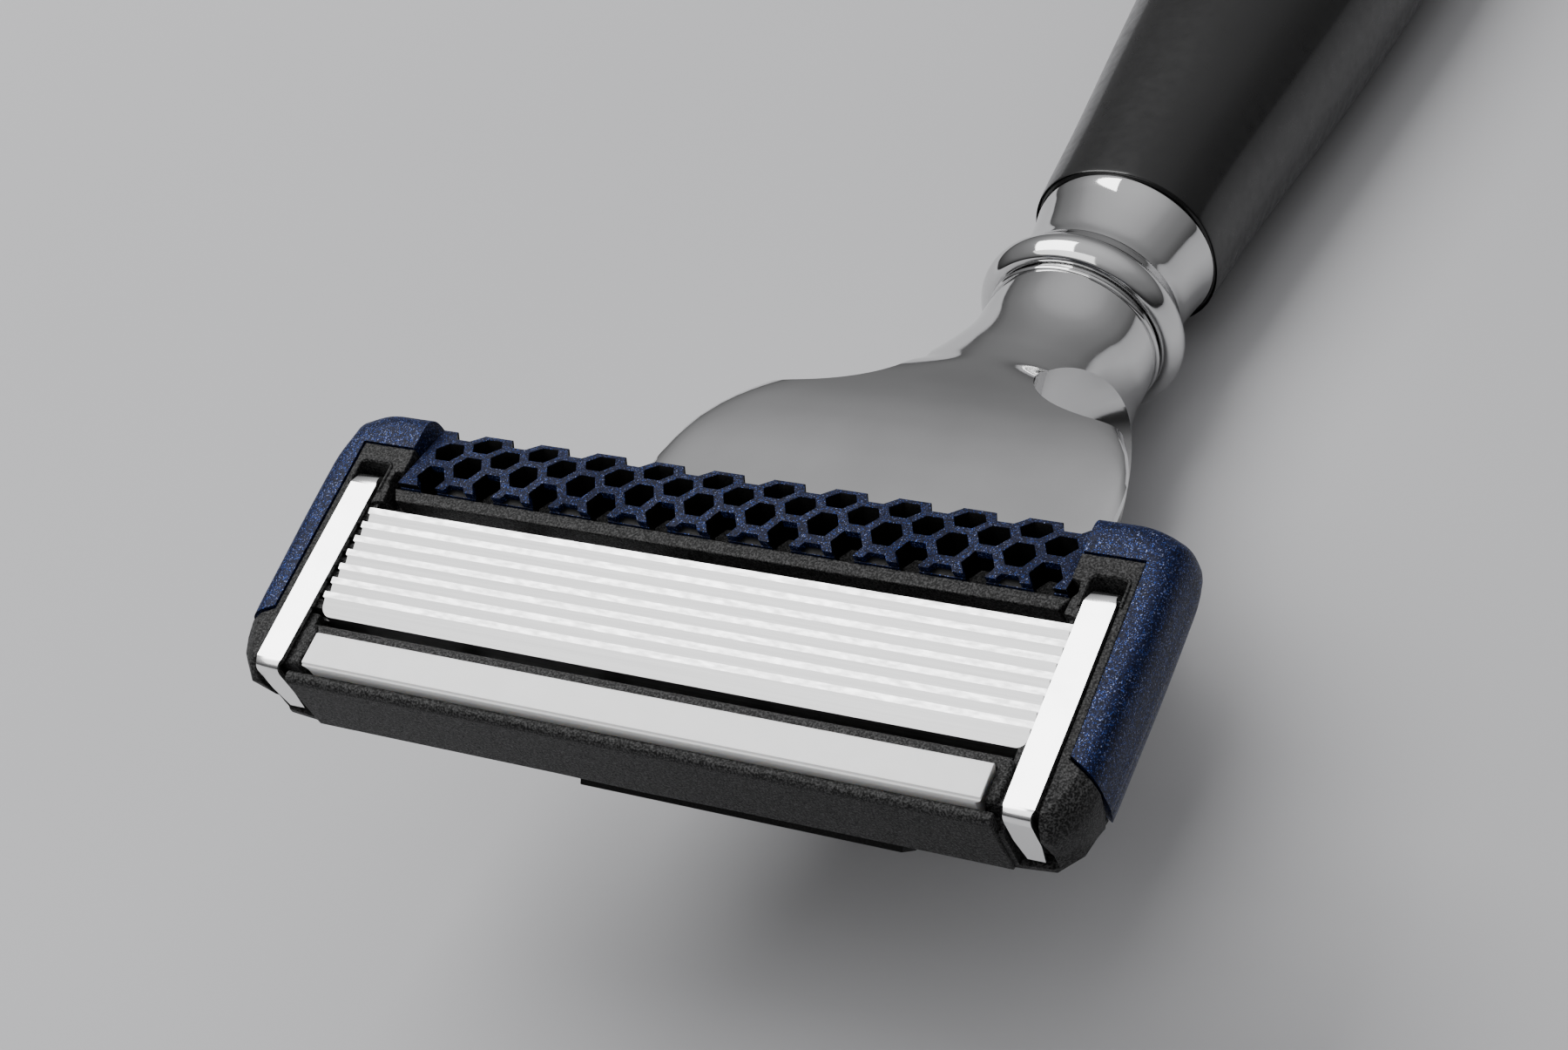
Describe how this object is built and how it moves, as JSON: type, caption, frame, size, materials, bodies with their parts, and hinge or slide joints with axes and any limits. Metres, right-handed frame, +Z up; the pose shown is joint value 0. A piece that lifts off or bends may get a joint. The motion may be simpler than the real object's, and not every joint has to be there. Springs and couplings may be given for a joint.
{
  "type": "cartridge razor",
  "caption": "Wet shaving razor with a pivoting multi-blade cartridge, honeycomb rubber guard, lubricating strip, chromed neck and black lacquered handle.",
  "frame": {"origin": "on the surface the razor lies on, under the middle of its box", "axes": "+X along the blades, +Y from the cartridge to the end of the handle, +Z up out of the shaving face's side"},
  "size_m": [0.042, 0.1442, 0.0234],
  "materials": {
    "black_plastic": "fine textured moulding",
    "blue_rubber": "soft dark blue with fine metallic flecks",
    "strip": "smooth waxy white",
    "blade_steel": "ground and coated steel with a bright edge",
    "clip_metal": "bright polished",
    "steel": "plain stainless",
    "chrome": "mirror chrome",
    "black_lacquer": "deep gloss lacquer",
    "brass": "turned",
    "seal_rubber": "matt"
  },
  "bodies": {
    "handle": {"neck_scoop": "chrome", "bead_ring": "chrome", "ferrule": "chrome", "handle_shell": "black_lacquer", "front_plug": "black_plastic", "balance_weight": "brass", "front_seal": "seal_rubber", "rear_seal": "seal_rubber", "tang_rod": "steel", "tang_nut": "steel", "end_cap": "chrome", "plunger_spring": "steel", "button_spring": "steel"},
    "cradle": {"cradle": "black_plastic", "left_pivot_pin": "steel", "right_pivot_pin": "steel"},
    "cartridge": {"housing": "black_plastic", "blue_trim": "blue_rubber", "honeycomb_guard": "blue_rubber", "lubricating_strip": "strip", "left_clip": "clip_metal", "right_clip": "clip_metal", "blade_1": "blade_steel", "blade_2": "blade_steel", "blade_3": "blade_steel", "blade_4": "blade_steel", "blade_5": "blade_steel", "blade_6": "blade_steel", "blade_7": "blade_steel", "blade_support_1": "steel", "blade_support_2": "steel", "blade_support_3": "steel", "blade_support_4": "steel", "blade_support_5": "steel", "blade_support_6": "steel", "blade_support_7": "steel"},
    "plunger": {"return_plunger": "black_plastic"},
    "button": {"release_button": "black_plastic"}
  },
  "joints": [
    {"name": "cartridge_release", "type": "slide", "parent": "handle", "child": "cradle", "axis": [0, -1, 0], "range_m": [0, 0.0023]},
    {"name": "head_pivot", "type": "hinge", "parent": "cradle", "child": "cartridge", "pos_m": [0, -0.05968, 0.01758], "axis": [1, 0, 0], "range_deg": [0, 40], "stiffness_Nm_per_rad": 0.002, "springref_deg": -20.05},
    {"name": "plunger_slide", "type": "slide", "parent": "handle", "child": "plunger", "axis": [0, 0.866, -0.5], "range_m": [0, 0.0023], "deforming": ["plunger_spring"]},
    {"name": "button_slide", "type": "slide", "parent": "handle", "child": "button", "axis": [0, -1, 0], "range_m": [0, 0.0023], "stiffness_N_per_m": 100, "springref_m": -0.0004, "deforming": ["button_spring"]}
  ],
  "couplings": [
    {"joint": "head_pivot", "follows": "plunger_slide", "rad_per_m": 303.03},
    {"joint": "button_slide", "follows": "cartridge_release", "ratio": 1}
  ]
}
